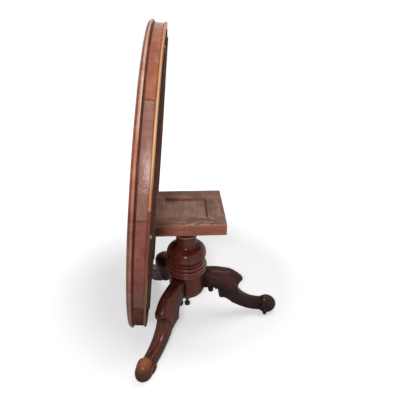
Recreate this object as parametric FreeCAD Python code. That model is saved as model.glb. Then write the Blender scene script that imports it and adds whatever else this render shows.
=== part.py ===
"""Tilt-top breakfast table: a round top with a deep frieze on a turned pedestal with three scroll legs.

Millimetres, +Z up. The origin is where the column's axis meets the floor, and +X is the way the right
leg points. The top is laid out flat, as it is in use, and then turned up on its pivot pins.
"""
import FreeCAD
import Part
import math
import os

from FreeCAD import Vector

# Column, from the bottom of the barrel upwards
BARREL_BOTTOM = 184.0
BARREL_HEIGHT = 146.0
BARREL_RADIUS = 93.0
BARREL_ROUND = 38.0
RING_RADII = (101.0, 105.0, 99.0, 94.0)
RING_HEIGHTS = (20.0, 26.0, 14.0, 12.0)
RING_GROOVE = 5.0
BULB_HEIGHT = 80.0
BULB_SHOULDER = 50.0
BULB_RADIUS = 97.0
NECK_HEIGHT = 59.0
NECK_RADIUS = 51.0
NECK_RING_RADIUS = 56.0
NECK_RING_HEIGHT = 11.0
CAP_HEIGHT = 98.0
CAP_RADIUS = 88.0
CAP_EDGE = 12.0
TENON_RADIUS = 32.0
TENON_LENGTH = 25.0

# Pendant drop under the barrel
DROP_LENGTH = 103.0
DROP_RADIUS = 30.0
DROP_WAIST = 9.0
DROP_BALL_RADIUS = 13.0
DROP_SPIGOT_RADIUS = 12.0
DROP_SPIGOT_LENGTH = 32.0

# Block: a frame of rails and stiles round a sunk panel
BLOCK_WIDTH = 360.0
BLOCK_THICK = 53.0
MEMBER_WIDTH = 80.0
RECESS_DEPTH = 14.0
TONGUE_WIDTH = 8.0
TONGUE_THICK = 12.0
STILE_TENON_LENGTH = 36.0
STILE_TENON_THICK = 16.0
STILE_TENON_INSET = 12.0

# Legs
LEG_ANGLES = {"right": 2.5, "near": -117.5, "far": 122.5}
LEG_ROOT_DROP = 12.0
LEG_WIDTH = 70.0
KNEE_WIDTH = 78.0
SHIN_WIDTH = 64.0
ANKLE_WIDTH = 56.0
LEG_CORNER = 9.0
SHIN_CORNER = 15.0
TOE_REACH = 457.0
TOE_RADIUS = 45.0
TOE_HEIGHT = 44.0
TOE_HALF_WIDTH = 35.0
VOLUTE_SETBACK = 29.0
VOLUTE_RADIUS = 31.0
VOLUTE_HEIGHT = 40.0
VOLUTE_WIDTH = 77.0
VOLUTE_THICK = 19.0
VOLUTE_ROUND = 5.0
LOBE_REACH = 33.0
LOBE_DROP = 150.0
LOBE_RADIUS = 14.0
LOBE_NECK = 10.0
DOVETAIL_DEPTH = 26.0
DOVETAIL_NECK = 26.0
DOVETAIL_WIDTH = 38.0

# Places along the leg, as shares: out from the barrel's face to the toe's centre, and up from the floor
# to the top of the leg's root. Each pair is a point on the upper line and its partner on the lower line.
KNEE_PLACES = (
    ((-0.04, 1.00), (-0.04, 0.74)),
    ((0.05, 1.00), (0.05, 0.74)),
    ((0.17, 0.98), (0.14, 0.68)),
    ((0.29, 0.96), (0.20, 0.62)),
    ((0.41, 0.90), (0.23, 0.48)),
    ((0.51, 0.80), (0.35, 0.40)),
    ((0.58, 0.72), (0.48, 0.56)),
)
SHIN_PLACES = (
    ((0.46, 0.65), (0.31, 0.50)),
    ((0.52, 0.58), (0.35, 0.40)),
    ((0.57, 0.46), (0.45, 0.34)),
    ((0.64, 0.38), (0.54, 0.27)),
    ((0.71, 0.33), (0.66, 0.20)),
    ((0.79, 0.30), (0.77, 0.15)),
    ((0.88, 0.28), (0.88, 0.13)),
    ((0.95, 0.26), (0.95, 0.12)),
)

# Pivot
RIM_CLEARANCE = 8.14
PIVOT_INSET = 20.0
PIVOT_DROP = 26.0
PIN_RADIUS = 7.0
PIN_GRIP = 40.0
PIN_HEAD_RADIUS = 11.0
PIN_HEAD_RISE = 4.0
PIN_RUNNING_CLEARANCE = 0.05
ROUND_PAST_PIVOT = 2.0

# Top
NOSE_RADIUS = 658.0
TOP_THICK = 27.5
TOP_HANG = 479.0
TOP_REST_GAP = 0.2
BOARD_COUNT = 5
FRIEZE_SETBACK = 9.5
FRIEZE_THICK = 18.0
FRIEZE_REBATE = 7.0
FRIEZE_DEPTH = 48.0
FRIEZE_SEGMENTS = 11
FRIEZE_JOINT_ANGLE = -45.2
NOSE_FLAT = 4.0
NOSE_COVE = 7.0
NOSE_QUIRK = 3.0
THUMB_SETBACK = 13.0
BEAD_HEIGHT = 9.5
BEAD_PROUD = 5.0
BEAD_STRIPS = 4
BEAD_JOINT_ANGLE = 15.0
GLUE_BLOCKS = 18
GLUE_BLOCK_LEG = 25.0
GLUE_BLOCK_LENGTH = 60.0

# Bearers and stop rail under the top
BEARER_GAP = 2.0
BEARER_WIDTH = 40.0
BEARER_DEPTH = 46.0
BEARER_END_GAP = 2.0
BEARER_CHAMFER = 6.0
STOP_WIDTH = 60.0
STOP_OFFSET = 2.0
STOP_CLEARANCE = 0.3

# Wood screws
SCREW_RADIUS = 2.8
SCREW_HEAD_RADIUS = 5.5
SCREW_BITE = 18.0
SCREW_CLEARANCE = 0.05
BEARER_SCREW_END = 480.0
BEARER_SCREW_INNER = 200.0
PIN_SCREW_GAP = 21.0
STOP_SCREW_SPREAD = 120.0

# Catch
PLATE_LENGTH = 66.0
PLATE_WIDTH = 56.0
PLATE_THICK = 2.0
CASE_LENGTH = 60.0
CASE_WIDTH = 34.0
CASE_DEPTH = 17.0
CASE_WALL = 2.5
BOLT_WIDTH = 14.0
NOSE_THICK = 8.0
BOLT_LENGTH = 40.0
BOLT_THROW = 7.5
BOLT_TRAVEL = 10.0
BOLT_CLEARANCE = 0.25
CATCH_GAP = 3.0
KNOB_SETBACK = 22.0
KNOB_RADIUS = 7.0
KNOB_STEM_RADIUS = 3.0
KNOB_LENGTH = 12.0
KNOB_GAP = 0.5
KNOB_SPIGOT_LENGTH = 6.0
CATCH_SCREW_RADIUS = 1.6
CATCH_SCREW_HEAD = 3.0
CATCH_SCREW_LENGTH = 14.0
KEEPER_WIDTH = 50.0
KEEPER_HEIGHT = 21.0
KEEPER_THICK = 2.5
KEEPER_SCREW_SPREAD = 17.0

JOINT_CLEARANCE = 0.1

# Places that follow from the sizes above
BARREL_TOP = BARREL_BOTTOM + BARREL_HEIGHT
LEG_ROOT = BARREL_TOP - LEG_ROOT_DROP
RINGS_TOP = BARREL_TOP + sum(RING_HEIGHTS)
BULB_TOP = RINGS_TOP + BULB_HEIGHT
NECK_TOP = BULB_TOP + NECK_HEIGHT
BLOCK_BOTTOM = NECK_TOP + CAP_HEIGHT
BLOCK_TOP = BLOCK_BOTTOM + BLOCK_THICK
HALF_BLOCK = BLOCK_WIDTH / 2
HALF_RECESS = HALF_BLOCK - MEMBER_WIDTH
PANEL_TOP = BLOCK_TOP - RECESS_DEPTH
TONGUE_LOW = (BLOCK_BOTTOM + PANEL_TOP - TONGUE_THICK) / 2
PIVOT = Vector(PIVOT_INSET - HALF_BLOCK, 0, BLOCK_TOP - PIVOT_DROP)
TOP_CENTRE = PIVOT.x - TOP_HANG + NOSE_RADIUS
FRIEZE_RADIUS = NOSE_RADIUS - FRIEZE_SETBACK
FRIEZE_INSIDE = FRIEZE_RADIUS - FRIEZE_THICK
UNDERSIDE = BLOCK_TOP + TOP_REST_GAP
FRIEZE_TOP = UNDERSIDE + FRIEZE_REBATE
FRIEZE_LOW = FRIEZE_TOP - FRIEZE_DEPTH
KNEE_LIP = BARREL_RADIUS + KNEE_PLACES[-1][0][0] * (TOE_REACH - BARREL_RADIUS)
KNEE_ROUND = KNEE_WIDTH / 2
KNEE_OUT = KNEE_ROUND - (KNEE_LIP - KNEE_ROUND) * math.cos(math.radians(LEG_ANGLES["far"]))
RIM_OUT = KNEE_OUT + RIM_CLEARANCE + PIVOT.z - FRIEZE_LOW
KNEE_DROP = PIVOT.z - KNEE_PLACES[-1][0][1] * LEG_ROOT
TILT = 90 - math.degrees(math.atan2(RIM_OUT + PIVOT.x, KNEE_DROP))
BEARER_INSIDE = HALF_BLOCK + BEARER_GAP
BEARER_OUTSIDE = BEARER_INSIDE + BEARER_WIDTH
CASE_START = HALF_BLOCK + CATCH_GAP
BOLT_LOW = UNDERSIDE - PLATE_THICK - CASE_DEPTH + CASE_WALL + BOLT_CLEARANCE

Z_AXIS = Vector(0, 0, 1)
ORIGIN = Vector(0, 0, 0)


def box(low, high):
    """Block between two opposite corners."""
    size = [b - a for a, b in zip(low, high)]
    return Part.makeBox(*size, Vector(*low))


def rod(radius, start, end):
    """Cylinder between two points."""
    way = Vector(*end) - Vector(*start)
    return Part.makeCylinder(radius, way.Length, Vector(*start), way)


def outline(points):
    """Closed face in the XZ plane through (r, z) points. A third number on a point bows the stretch that
    leads to it: the arc's rise as a share of the stretch, positive to the left of the way."""
    edges = []
    for before, after in zip(points[-1:] + points[:-1], points):
        a = Vector(before[0], 0, before[1])
        b = Vector(after[0], 0, after[1])
        rise = after[2] if len(after) > 2 else 0
        if rise:
            side = Vector(a.z - b.z, 0, b.x - a.x)
            middle = (a + b) * 0.5 + side * rise
            edges.append(Part.Arc(a, middle, b).toShape())
        else:
            edges.append(Part.LineSegment(a, b).toShape())
    return Part.Face(Part.Wire(edges))


def turned(points, start=0.0, sweep=360.0):
    """Outline turned about the Z axis."""
    solid = outline(points).revolve(ORIGIN, Z_AXIS, sweep)
    solid.rotate(ORIGIN, Z_AXIS, start)
    return solid


def countersunk_screw(radius, head_radius, length, seat, way):
    """Flat-headed screw with its head flush at the seat and its shank along the way."""
    direction = Vector(*way)
    cone = Part.makeCone(head_radius, radius, head_radius - radius, Vector(*seat), direction)
    shank = Part.makeCylinder(radius, length, Vector(*seat), direction)
    return cone.fuse(shank).removeSplitter()


def screw_holes(seats, way, radius, head_radius, length):
    """Room for screws: the same shapes with clearance all round."""
    grow = SCREW_CLEARANCE
    return [countersunk_screw(radius + grow, head_radius + grow, length + grow, seat, way) for seat in seats]


def column_profile(grow=0.0):
    """Half outline of the column; grow swells the barrel, for trimming the legs to it."""
    barrel = BARREL_RADIUS + grow
    round_low = BARREL_BOTTOM - grow
    points = [(0, round_low), (barrel - BARREL_ROUND, round_low)]
    points += [(barrel, round_low + BARREL_ROUND, -0.2), (barrel, BARREL_TOP)]
    low = BARREL_TOP
    for radius, height in zip(RING_RADII, RING_HEIGHTS):
        points.append((radius - RING_GROOVE, low))
        low += height
        points.append((radius - RING_GROOVE, low, -RING_GROOVE / height))
    shoulder = RINGS_TOP + BULB_HEIGHT - BULB_SHOULDER
    points += [(BULB_RADIUS, shoulder, -0.16), (NECK_RADIUS, BULB_TOP, -0.2)]
    points += [(NECK_RADIUS, NECK_TOP, 0.03), (NECK_RING_RADIUS, NECK_TOP)]
    points += [(NECK_RING_RADIUS, NECK_TOP + NECK_RING_HEIGHT, -0.4)]
    points += [(CAP_RADIUS, BLOCK_BOTTOM - CAP_EDGE, 0.18), (CAP_RADIUS, BLOCK_BOTTOM)]
    points += [(TENON_RADIUS, BLOCK_BOTTOM), (TENON_RADIUS, BLOCK_BOTTOM + TENON_LENGTH)]
    return points + [(0, BLOCK_BOTTOM + TENON_LENGTH)]


def dovetail(grow=0.0):
    """Dovetail tongue of the right leg, from under the barrel to the leg's top."""
    face = BARREL_RADIUS + LOBE_REACH
    root = BARREL_RADIUS - DOVETAIL_DEPTH - grow
    neck = DOVETAIL_NECK / 2 + grow
    wide = DOVETAIL_WIDTH / 2 + grow
    shoulder = BARREL_RADIUS
    corners = [(root, -wide), (shoulder, -neck), (face, -neck), (face, neck), (shoulder, neck), (root, wide)]
    plan = Part.makePolygon([Vector(x, y, 0) for x, y in corners + corners[:1]])
    tall = LEG_ROOT - JOINT_CLEARANCE + grow
    return Part.Face(plan).extrude(Vector(0, 0, tall))


def leg_section(place, top_width, low_width, corner):
    """Rounded four-sided section across the leg, between a point on its upper line and one on its lower."""
    span = TOE_REACH - BARREL_RADIUS
    a, b = [Vector(BARREL_RADIUS + out * span, 0, up * LEG_ROOT) for out, up in place]
    side = Vector(0, 1, 0)
    corners = [a + side * (top_width / 2), a - side * (top_width / 2)]
    corners += [b - side * (low_width / 2), b + side * (low_width / 2)]
    edges = []
    for k, here in enumerate(corners):
        back = (corners[k - 1] - here).normalize() * corner
        ahead = (corners[(k + 1) % 4] - here).normalize() * corner
        middle = here + (back + ahead) * (1 - math.sqrt(0.5))
        edges.append(Part.Arc(here + back, middle, here + ahead).toShape())
        following = corners[(k + 1) % 4]
        next_start = following + (here - following).normalize() * corner
        edges.append(Part.LineSegment(here + ahead, next_start).toShape())
    return Part.Wire(edges)


def upper_leg():
    """The leg from inside the barrel to the lip of the knee, squarish, with the lip rounded like a tongue."""
    last = len(KNEE_PLACES) - 1
    sections = []
    for k, place in enumerate(KNEE_PLACES):
        top_width = LEG_WIDTH + (KNEE_WIDTH - LEG_WIDTH) * k / last
        low_width = LEG_WIDTH + (SHIN_WIDTH - LEG_WIDTH) * k / last
        sections.append(leg_section(place, top_width, low_width, LEG_CORNER))
    body = Part.makeLoft(sections, True, False)
    middle = KNEE_LIP - KNEE_ROUND
    tongue = box((0, -KNEE_ROUND, 0), (middle, KNEE_ROUND, BARREL_TOP))
    tongue = tongue.fuse(rod(KNEE_ROUND, (middle, 0, 0), (middle, 0, BARREL_TOP)))
    return body.common(tongue)


def lower_leg():
    """The leg from inside the knee to inside the toe, a flattened round."""
    last = len(SHIN_PLACES) - 1
    sections = []
    for k, place in enumerate(SHIN_PLACES):
        width = SHIN_WIDTH + (ANKLE_WIDTH - SHIN_WIDTH) * k / last
        sections.append(leg_section(place, width, width, SHIN_CORNER))
    return Part.makeLoft(sections, True, False)


def toe():
    """Egg-shaped toe of the scroll foot: a half ellipse turned about the line across the foot."""
    centre = Vector(TOE_REACH, 0, TOE_HEIGHT)
    ellipse = Part.Ellipse(Vector(0, 0, 0), TOE_RADIUS, TOE_HALF_WIDTH)
    half = Part.Arc(ellipse, -math.pi / 2, math.pi / 2).toShape()
    chord = Part.makeLine(Vector(0, TOE_HALF_WIDTH, 0), Vector(0, -TOE_HALF_WIDTH, 0))
    egg = Part.Face(Part.Wire([half, chord])).revolve(ORIGIN, Vector(0, 1, 0), 360)
    egg.translate(centre)
    return egg


def volute(side):
    """Flat scroll on one side of the foot; side is +1 or -1."""
    outside = side * VOLUTE_WIDTH / 2
    inside = outside - side * VOLUTE_THICK
    reach = TOE_REACH - VOLUTE_SETBACK
    disc = rod(VOLUTE_RADIUS, (reach, inside, VOLUTE_HEIGHT), (reach, outside, VOLUTE_HEIGHT))
    rims = [e for e in disc.Edges if abs(e.CenterOfMass.y - outside) < JOINT_CLEARANCE]
    return disc.makeFillet(VOLUTE_ROUND, rims[:1])


def leg():
    """Right leg: knee, lower leg, scroll foot, the lobe under the root and the dovetail tongue."""
    lobe_reach = BARREL_RADIUS + LOBE_REACH
    lobe_centre = BARREL_TOP - LOBE_DROP
    lobe = Part.makeSphere(LOBE_RADIUS, Vector(lobe_reach, 0, lobe_centre))
    neck = rod(LOBE_NECK, (lobe_reach, 0, lobe_centre), (lobe_reach, 0, LEG_ROOT - LOBE_DROP / 3))
    body = upper_leg().multiFuse([lower_leg(), toe(), volute(1), volute(-1), lobe, neck])
    body = body.cut(turned(column_profile(JOINT_CLEARANCE)))
    tongue = dovetail().common(turned(column_profile(JOINT_CLEARANCE)).fuse(body))
    body = body.fuse(tongue)
    below = TOE_REACH * 2
    floor = box((-below, -below, -below), (below, below, 0))
    return body.cut(floor).removeSplitter()


def column():
    """Turned column with a dovetail slot for each leg and a socket for the pendant."""
    body = turned(column_profile())
    cuts = []
    for angle in LEG_ANGLES.values():
        slot = dovetail(JOINT_CLEARANCE)
        slot.rotate(ORIGIN, Z_AXIS, angle)
        cuts.append(slot)
    socket = DROP_SPIGOT_RADIUS + JOINT_CLEARANCE
    depth = DROP_SPIGOT_LENGTH + JOINT_CLEARANCE
    cuts.append(rod(socket, (0, 0, 0), (0, 0, BARREL_BOTTOM + depth)))
    return body.cut(cuts)


def pendant():
    """Turned drop with a ball tip, held by a spigot in the barrel."""
    tip = BARREL_BOTTOM - DROP_LENGTH
    ball = tip + DROP_BALL_RADIUS
    ball_top = ball + DROP_BALL_RADIUS * 0.8
    ball_neck = DROP_BALL_RADIUS * 0.6
    waist = (BARREL_BOTTOM + ball_top) / 2
    top = BARREL_BOTTOM + DROP_SPIGOT_LENGTH
    points = [(0, tip), (DROP_BALL_RADIUS, ball, -0.2071), (ball_neck, ball_top, -0.12)]
    points += [(DROP_WAIST, waist - DROP_WAIST), (DROP_WAIST * 2, waist, -0.3)]
    points += [(DROP_WAIST, waist + DROP_WAIST, -0.3), (DROP_RADIUS, BARREL_BOTTOM - DROP_WAIST, 0.2)]
    points += [(DROP_RADIUS, BARREL_BOTTOM), (DROP_SPIGOT_RADIUS, BARREL_BOTTOM)]
    return turned(points + [(DROP_SPIGOT_RADIUS, top), (0, top)])


def panel():
    """Sunk board in the middle of the block, tongued into the frame, with the column's mortise below."""
    half = HALF_RECESS
    wide = half + TONGUE_WIDTH
    board = box((-half, -half, BLOCK_BOTTOM), (half, half, PANEL_TOP))
    tongue = box((-wide, -wide, TONGUE_LOW), (wide, wide, TONGUE_LOW + TONGUE_THICK))
    depth = BLOCK_BOTTOM + TENON_LENGTH + JOINT_CLEARANCE
    mortise = rod(TENON_RADIUS + JOINT_CLEARANCE, (0, 0, 0), (0, 0, depth))
    return board.fuse(tongue).removeSplitter().cut(mortise)


def panel_groove():
    """Room for the panel's tongue in the frame."""
    wide = HALF_RECESS + TONGUE_WIDTH + JOINT_CLEARANCE
    low = TONGUE_LOW - JOINT_CLEARANCE
    return box((-wide, -wide, low), (wide, wide, TONGUE_LOW + TONGUE_THICK + JOINT_CLEARANCE))


def stile_tenons(side, grow=0.0):
    """Tenons at both ends of a stile; side is -1 for the pivot side and +1 for the catch side."""
    near_edge = HALF_RECESS + STILE_TENON_INSET - grow
    far_edge = HALF_BLOCK - STILE_TENON_INSET + grow
    length = HALF_RECESS + STILE_TENON_LENGTH + grow
    low = BLOCK_BOTTOM + (BLOCK_THICK - STILE_TENON_THICK) / 2 - grow
    high = low + STILE_TENON_THICK + 2 * grow
    xs = sorted((side * near_edge, side * far_edge))
    return box((xs[0], -length, low), (xs[1], length, high))


def pivot_side_round():
    """What is planed off the block's upper corner so that the top can turn over it."""
    radius = PIVOT_INSET + ROUND_PAST_PIVOT
    corner = box((-HALF_BLOCK, -HALF_BLOCK, BLOCK_TOP - radius),
                 (radius - HALF_BLOCK, HALF_BLOCK, BLOCK_TOP))
    x = radius - HALF_BLOCK
    z = BLOCK_TOP - radius
    return corner.cut(rod(radius, (x, -HALF_BLOCK, z), (x, HALF_BLOCK, z)))


def stile(side):
    """Short frame member between the rails."""
    xs = sorted((side * HALF_RECESS, side * HALF_BLOCK))
    body = box((xs[0], -HALF_RECESS, BLOCK_BOTTOM), (xs[1], HALF_RECESS, BLOCK_TOP))
    body = body.fuse(stile_tenons(side)).removeSplitter()
    return body.cut([panel_groove(), pivot_side_round()])


def rail(side):
    """Long frame member; side is -1 for the near rail and +1 for the far one."""
    ys = sorted((side * HALF_RECESS, side * HALF_BLOCK))
    body = box((-HALF_BLOCK, ys[0], BLOCK_BOTTOM), (HALF_BLOCK, ys[1], BLOCK_TOP))
    pin_end = side * (HALF_BLOCK - PIN_GRIP)
    hole = rod(PIN_RADIUS, (PIVOT.x, pin_end, PIVOT.z), (PIVOT.x, side * BLOCK_WIDTH, PIVOT.z))
    mortises = [stile_tenons(-1, JOINT_CLEARANCE), stile_tenons(1, JOINT_CLEARANCE)]
    return body.cut([panel_groove(), pivot_side_round(), hole] + mortises)


def pivot_pin(side):
    """Iron pin through a bearer into the block, with a low domed head outside the bearer."""
    inner = side * (HALF_BLOCK - PIN_GRIP)
    outer = side * (BEARER_OUTSIDE + JOINT_CLEARANCE)
    shank = rod(PIN_RADIUS, (PIVOT.x, inner, PIVOT.z), (PIVOT.x, outer, PIVOT.z))
    dome_radius = (PIN_HEAD_RADIUS ** 2 + PIN_HEAD_RISE ** 2) / (2 * PIN_HEAD_RISE)
    centre = Vector(PIVOT.x, outer + side * (PIN_HEAD_RISE - dome_radius), PIVOT.z)
    ball = Part.makeSphere(dome_radius, centre)
    head = ball.common(rod(PIN_HEAD_RADIUS + JOINT_CLEARANCE, (PIVOT.x, outer, PIVOT.z),
                           (PIVOT.x, outer + side * PIN_HEAD_RISE, PIVOT.z)))
    return shank.fuse(head).removeSplitter()


def keeper_seats():
    """Places of the keeper's two screws."""
    z = BOLT_LOW + NOSE_THICK / 2
    return [(HALF_BLOCK, y, z) for y in (-KEEPER_SCREW_SPREAD, KEEPER_SCREW_SPREAD)]


def keeper_blank(grow=0.0):
    """Plate let into the block's catch side."""
    middle = BOLT_LOW + NOSE_THICK / 2
    wide = KEEPER_WIDTH / 2 + grow
    tall = KEEPER_HEIGHT / 2 + grow
    back = HALF_BLOCK - KEEPER_THICK - grow
    return box((back, -wide, middle - tall), (HALF_BLOCK + grow, wide, middle + tall))


def bolt_mouth(depth):
    """Room for the bolt's nose in the keeper and the wood behind it."""
    wide = BOLT_WIDTH / 2 + 2 * BOLT_CLEARANCE
    low = BOLT_LOW - 2 * BOLT_CLEARANCE
    high = BOLT_LOW + NOSE_THICK + 2 * BOLT_CLEARANCE
    return box((HALF_BLOCK - depth, -wide, low), (HALF_BLOCK + depth, wide, high))


def catch_stile():
    """Catch-side stile with the keeper let in."""
    holes = screw_holes(keeper_seats(), (-1, 0, 0), CATCH_SCREW_RADIUS, CATCH_SCREW_HEAD, CATCH_SCREW_LENGTH)
    mouth = bolt_mouth(BOLT_THROW + CATCH_GAP)
    return stile(1).cut([keeper_blank(JOINT_CLEARANCE), mouth] + holes)


def keeper_plate():
    """Brass plate with the mouth that the bolt snaps into."""
    holes = screw_holes(keeper_seats(), (-1, 0, 0), CATCH_SCREW_RADIUS, CATCH_SCREW_HEAD, CATCH_SCREW_LENGTH)
    return keeper_blank().cut([bolt_mouth(BOLT_THROW + CATCH_GAP)] + holes)


def keeper_screws():
    """The keeper's two brass screws."""
    way = (-1, 0, 0)
    screws = [countersunk_screw(CATCH_SCREW_RADIUS, CATCH_SCREW_HEAD, CATCH_SCREW_LENGTH, seat, way)
              for seat in keeper_seats()]
    return Part.makeCompound(screws)


def bearer_seats(side):
    """Screw places along a bearer's lower face."""
    y = side * (BEARER_INSIDE + BEARER_WIDTH / 2)
    places = [TOP_CENTRE - BEARER_SCREW_END, PIVOT.x - PIN_SCREW_GAP]
    places += [TOP_CENTRE + BEARER_SCREW_INNER, TOP_CENTRE + BEARER_SCREW_END]
    return [(x, y, UNDERSIDE - BEARER_DEPTH) for x in places]


def stop_thick():
    """Depth of the stop rail at which its edge meets the block's side when the top is up."""
    reach = PIVOT_INSET + STOP_OFFSET
    turn = math.radians(TILT)
    fall = (reach - PIVOT_INSET * math.cos(turn)) / math.sin(turn)
    meets = PIVOT_INSET * math.sin(turn) - fall * math.cos(turn)
    return PIVOT_DROP + TOP_REST_GAP - meets - STOP_CLEARANCE


def stop_edges():
    """The stop rail's two long edges, across the top."""
    inner = -HALF_BLOCK - STOP_OFFSET
    return inner - STOP_WIDTH, inner


def stop_seats():
    """Screw places on the stop rail's lower face."""
    x = sum(stop_edges()) / 2
    return [(x, y, UNDERSIDE - stop_thick()) for y in (-STOP_SCREW_SPREAD, 0, STOP_SCREW_SPREAD)]


def catch_seats():
    """Screw places at the four corners of the catch's plate."""
    inset = (PLATE_WIDTH - CASE_WIDTH) / 4
    y = PLATE_WIDTH / 2 - inset
    xs = (CASE_START + inset, CASE_START + PLATE_LENGTH - inset)
    return [(x, side * y, UNDERSIDE - PLATE_THICK) for x in xs for side in (-1, 1)]


def wood_screw_holes():
    """Room for every screw that goes up into the boards."""
    up = (0, 0, 1)
    seats = bearer_seats(-1) + bearer_seats(1)
    holes = screw_holes(seats, up, SCREW_RADIUS, SCREW_HEAD_RADIUS, BEARER_DEPTH + SCREW_BITE)
    holes += screw_holes(stop_seats(), up, SCREW_RADIUS, SCREW_HEAD_RADIUS, stop_thick() + SCREW_BITE)
    return holes + screw_holes(catch_seats(), up, CATCH_SCREW_RADIUS, CATCH_SCREW_HEAD, CATCH_SCREW_LENGTH)


def turned_top(points, start=0.0, sweep=360.0):
    """Outline turned about the middle of the top, which lies off the column's axis."""
    solid = turned(points, start, sweep)
    solid.translate(Vector(TOP_CENTRE, 0, 0))
    return solid


def board_disc():
    """The whole top: a disc with a rebate for the frieze and a moulded edge of cove, nose and thumb."""
    under = UNDERSIDE
    upper = UNDERSIDE + TOP_THICK
    inside = FRIEZE_INSIDE - JOINT_CLEARANCE
    quirk = FRIEZE_RADIUS + NOSE_QUIRK
    nose_low = FRIEZE_TOP + NOSE_COVE
    nose_high = nose_low + NOSE_FLAT
    points = [(0, under), (inside, under), (inside, FRIEZE_TOP), (quirk, FRIEZE_TOP)]
    points += [(NOSE_RADIUS, nose_low, 0.15), (NOSE_RADIUS, nose_high)]
    points += [(NOSE_RADIUS - THUMB_SETBACK, upper, -0.2), (0, upper)]
    return turned_top(points)


def boards():
    """The top's boards, edge to edge across the tilt."""
    disc = board_disc().cut(wood_screw_holes())
    width = 2 * NOSE_RADIUS / BOARD_COUNT
    slices = {}
    for k in range(BOARD_COUNT):
        left = TOP_CENTRE + k * width - NOSE_RADIUS
        slab = box((left, -NOSE_RADIUS, BLOCK_BOTTOM), (left + width, NOSE_RADIUS, BLOCK_TOP + BLOCK_WIDTH))
        slices[f"top_board_{k + 1}"] = disc.common(slab)
    return slices


def frieze():
    """Segments of the deep ring under the rim."""
    sweep = 360.0 / FRIEZE_SEGMENTS
    ring = [(FRIEZE_INSIDE, FRIEZE_LOW), (FRIEZE_RADIUS, FRIEZE_LOW)]
    ring += [(FRIEZE_RADIUS, FRIEZE_TOP), (FRIEZE_INSIDE, FRIEZE_TOP)]
    return {f"frieze_segment_{k + 1:02d}": turned_top(ring, FRIEZE_JOINT_ANGLE + k * sweep, sweep)
            for k in range(FRIEZE_SEGMENTS)}


def bead():
    """Half-round strips along the frieze's lower edge."""
    sweep = 360.0 / BEAD_STRIPS
    face = FRIEZE_RADIUS + JOINT_CLEARANCE
    section = [(face, FRIEZE_LOW), (face, FRIEZE_LOW + BEAD_HEIGHT, -BEAD_PROUD / BEAD_HEIGHT)]
    return {f"bead_strip_{k + 1}": turned_top(section, BEAD_JOINT_ANGLE + k * sweep, sweep)
            for k in range(BEAD_STRIPS)}


def glue_blocks():
    """Three-cornered blocks between the frieze's inside and the boards."""
    inside = FRIEZE_INSIDE - JOINT_CLEARANCE
    corner = [(inside, UNDERSIDE - GLUE_BLOCK_LEG), (inside, UNDERSIDE), (inside - GLUE_BLOCK_LEG, UNDERSIDE)]
    sweep = math.degrees(GLUE_BLOCK_LENGTH / inside)
    step = 360.0 / GLUE_BLOCKS
    blocks = [turned_top(corner, (k + 0.5) * step - sweep / 2, sweep) for k in range(GLUE_BLOCKS)]
    return Part.makeCompound(blocks)


def bearer(side):
    """Long bearer beside the block, bored for the pivot pin, with its lower end corners taken off."""
    half = math.sqrt(FRIEZE_INSIDE ** 2 - BEARER_OUTSIDE ** 2) - BEARER_END_GAP
    start = TOP_CENTRE - half
    end = TOP_CENTRE + half
    low = UNDERSIDE - BEARER_DEPTH
    cut = BEARER_CHAMFER
    points = [(start, UNDERSIDE), (start, low + cut), (start + cut, low), (end - cut, low), (end, low + cut)]
    ys = sorted((side * BEARER_INSIDE, side * BEARER_OUTSIDE))
    body = outline(points + [(end, UNDERSIDE)]).extrude(Vector(0, ys[1] - ys[0], 0))
    body.translate(Vector(0, ys[0], 0))
    bore = rod(PIN_RADIUS + PIN_RUNNING_CLEARANCE, (PIVOT.x, side * HALF_BLOCK, PIVOT.z),
               (PIVOT.x, side * BLOCK_WIDTH, PIVOT.z))
    return body.cut([bore] + wood_screw_holes())


def bearer_screws():
    """Long countersunk screws that hold the bearers to the boards."""
    length = BEARER_DEPTH + SCREW_BITE
    screws = [countersunk_screw(SCREW_RADIUS, SCREW_HEAD_RADIUS, length, seat, (0, 0, 1))
              for seat in bearer_seats(-1) + bearer_seats(1)]
    return Part.makeCompound(screws)


def stop_rail():
    """Batten between the bearers that comes to rest on the block's side when the top is up."""
    low, high = stop_edges()
    wide = BEARER_INSIDE - STOP_CLEARANCE
    body = box((low, -wide, UNDERSIDE - stop_thick()), (high, wide, UNDERSIDE))
    return body.cut(wood_screw_holes())


def stop_screws():
    """Screws of the stop rail."""
    length = stop_thick() + SCREW_BITE
    screws = [countersunk_screw(SCREW_RADIUS, SCREW_HEAD_RADIUS, length, seat, (0, 0, 1))
              for seat in stop_seats()]
    return Part.makeCompound(screws)


def catch_plate():
    """Brass back plate of the catch, screwed to the underside."""
    half = PLATE_WIDTH / 2
    plate = box((CASE_START, -half, UNDERSIDE - PLATE_THICK), (CASE_START + PLATE_LENGTH, half, UNDERSIDE))
    return plate.cut(wood_screw_holes())


def knob_stem_room():
    """Slot in the case that the knob's stem travels along."""
    x = CASE_START + KNOB_SETBACK
    wide = KNOB_STEM_RADIUS + BOLT_CLEARANCE
    low = UNDERSIDE - PLATE_THICK - CASE_DEPTH
    return box((x - wide, -wide, low - CASE_WALL), (x + BOLT_TRAVEL + wide, wide, low + 2 * CASE_WALL))


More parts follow.
